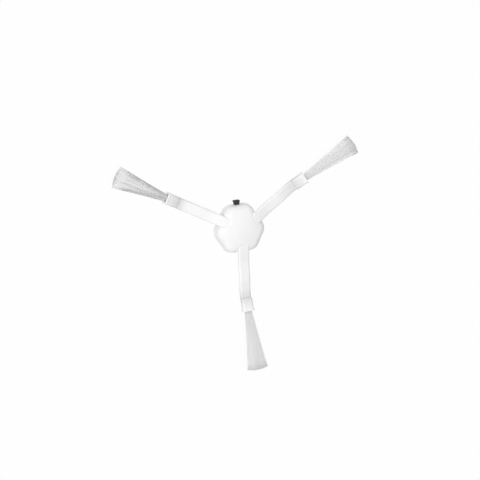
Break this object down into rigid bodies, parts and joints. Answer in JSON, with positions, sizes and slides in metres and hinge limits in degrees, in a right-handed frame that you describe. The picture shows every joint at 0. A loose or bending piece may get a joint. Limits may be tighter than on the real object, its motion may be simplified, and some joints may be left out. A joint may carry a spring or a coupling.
{
  "type": "robot vacuum side brush",
  "caption": "Spinning side brush for a robot vacuum: a lobed white hub with strap arms, grey bristle tufts in the collars at their ends, and a black drive coupling in the hub's back.",
  "frame": {"origin": "on the spin axis at the hub's back face, in the mouth of the drive bore", "axes": "+Z along the spin axis towards the crown, which faces the floor, one arm along -Y"},
  "size_m": [0.1392, 0.1208, 0.0128],
  "materials": {
    "white_moulding": "satin",
    "black_plastic": "satin",
    "grey_bristle": "satin",
    "anchor_steel": "satin"
  },
  "bodies": {
    "root": {"brush_body": "white_moulding", "drive_coupling": "black_plastic", "bristle_tuft_1": "grey_bristle", "bristle_tuft_2": "grey_bristle", "bristle_tuft_3": "grey_bristle", "tuft_anchors": "anchor_steel"}
  },
  "joints": []
}
